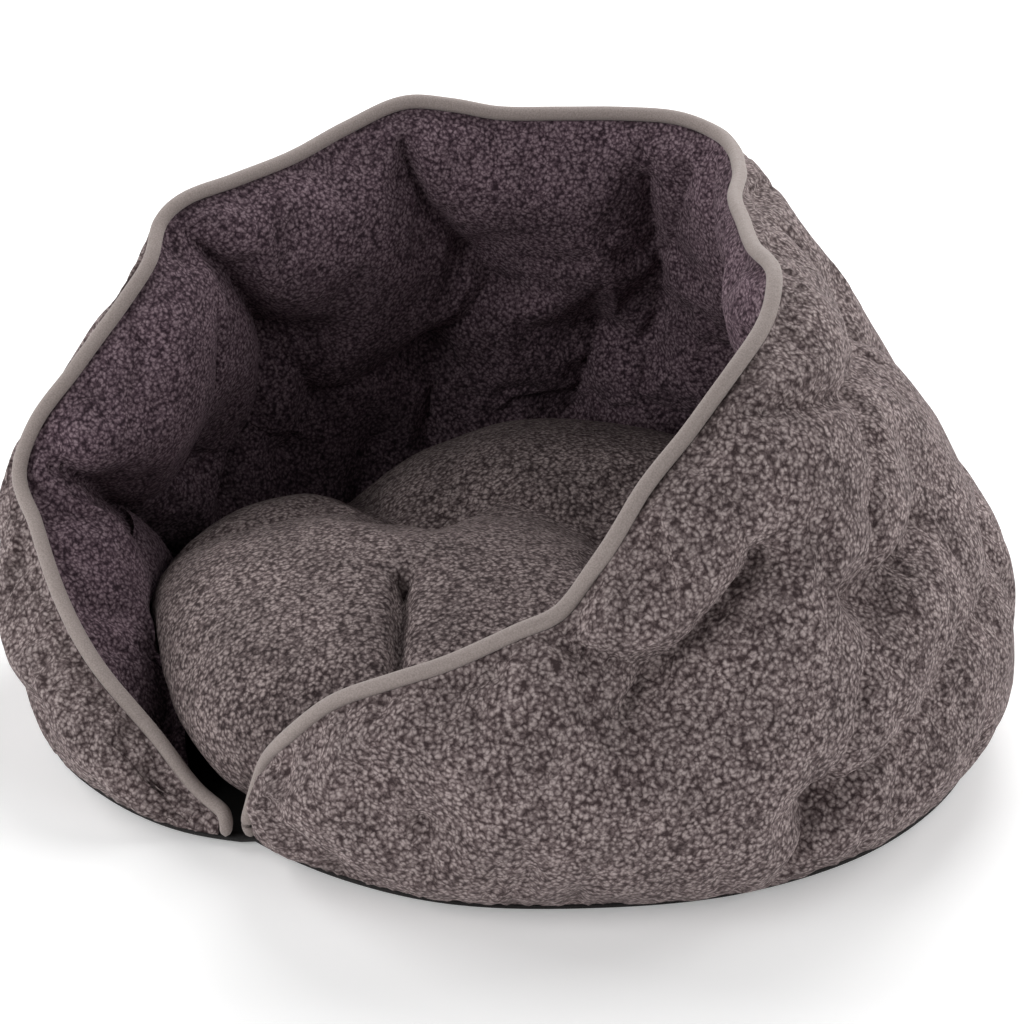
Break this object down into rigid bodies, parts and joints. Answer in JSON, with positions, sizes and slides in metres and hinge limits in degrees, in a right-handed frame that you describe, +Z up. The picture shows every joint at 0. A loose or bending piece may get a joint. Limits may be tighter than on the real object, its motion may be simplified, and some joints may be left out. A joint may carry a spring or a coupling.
{
  "type": "cuddle pet bed",
  "caption": "Cuddle bed for a cat or small dog: a stuffed, tufted wall that leans in and drops to a front entrance, with a piped edge and a loose filled cushion.",
  "frame": {"origin": "on the floor under the middle of the oval base, on the flat underside of the bottom panel", "axes": "+Z up, -Y out of the entrance, +X to the right of someone who looks in at the entrance"},
  "size_m": [0.4729, 0.4358, 0.2545],
  "materials": {
    "outer_fleece": "heather taupe-grey short nubbly fleece",
    "inner_plush": "dark plum-brown short plush",
    "piping_cloth": "light taupe-grey smooth cloth over a cord",
    "bottom_cloth": "near-black woven non-slip cloth",
    "cushion_fleece": "heather taupe-grey short nubbly fleece"
  },
  "bodies": {
    "root": {"outer_wall": "outer_fleece", "inner_wall": "inner_plush", "rim_piping": "piping_cloth", "bottom_panel": "bottom_cloth", "cushion": "cushion_fleece"}
  },
  "joints": []
}
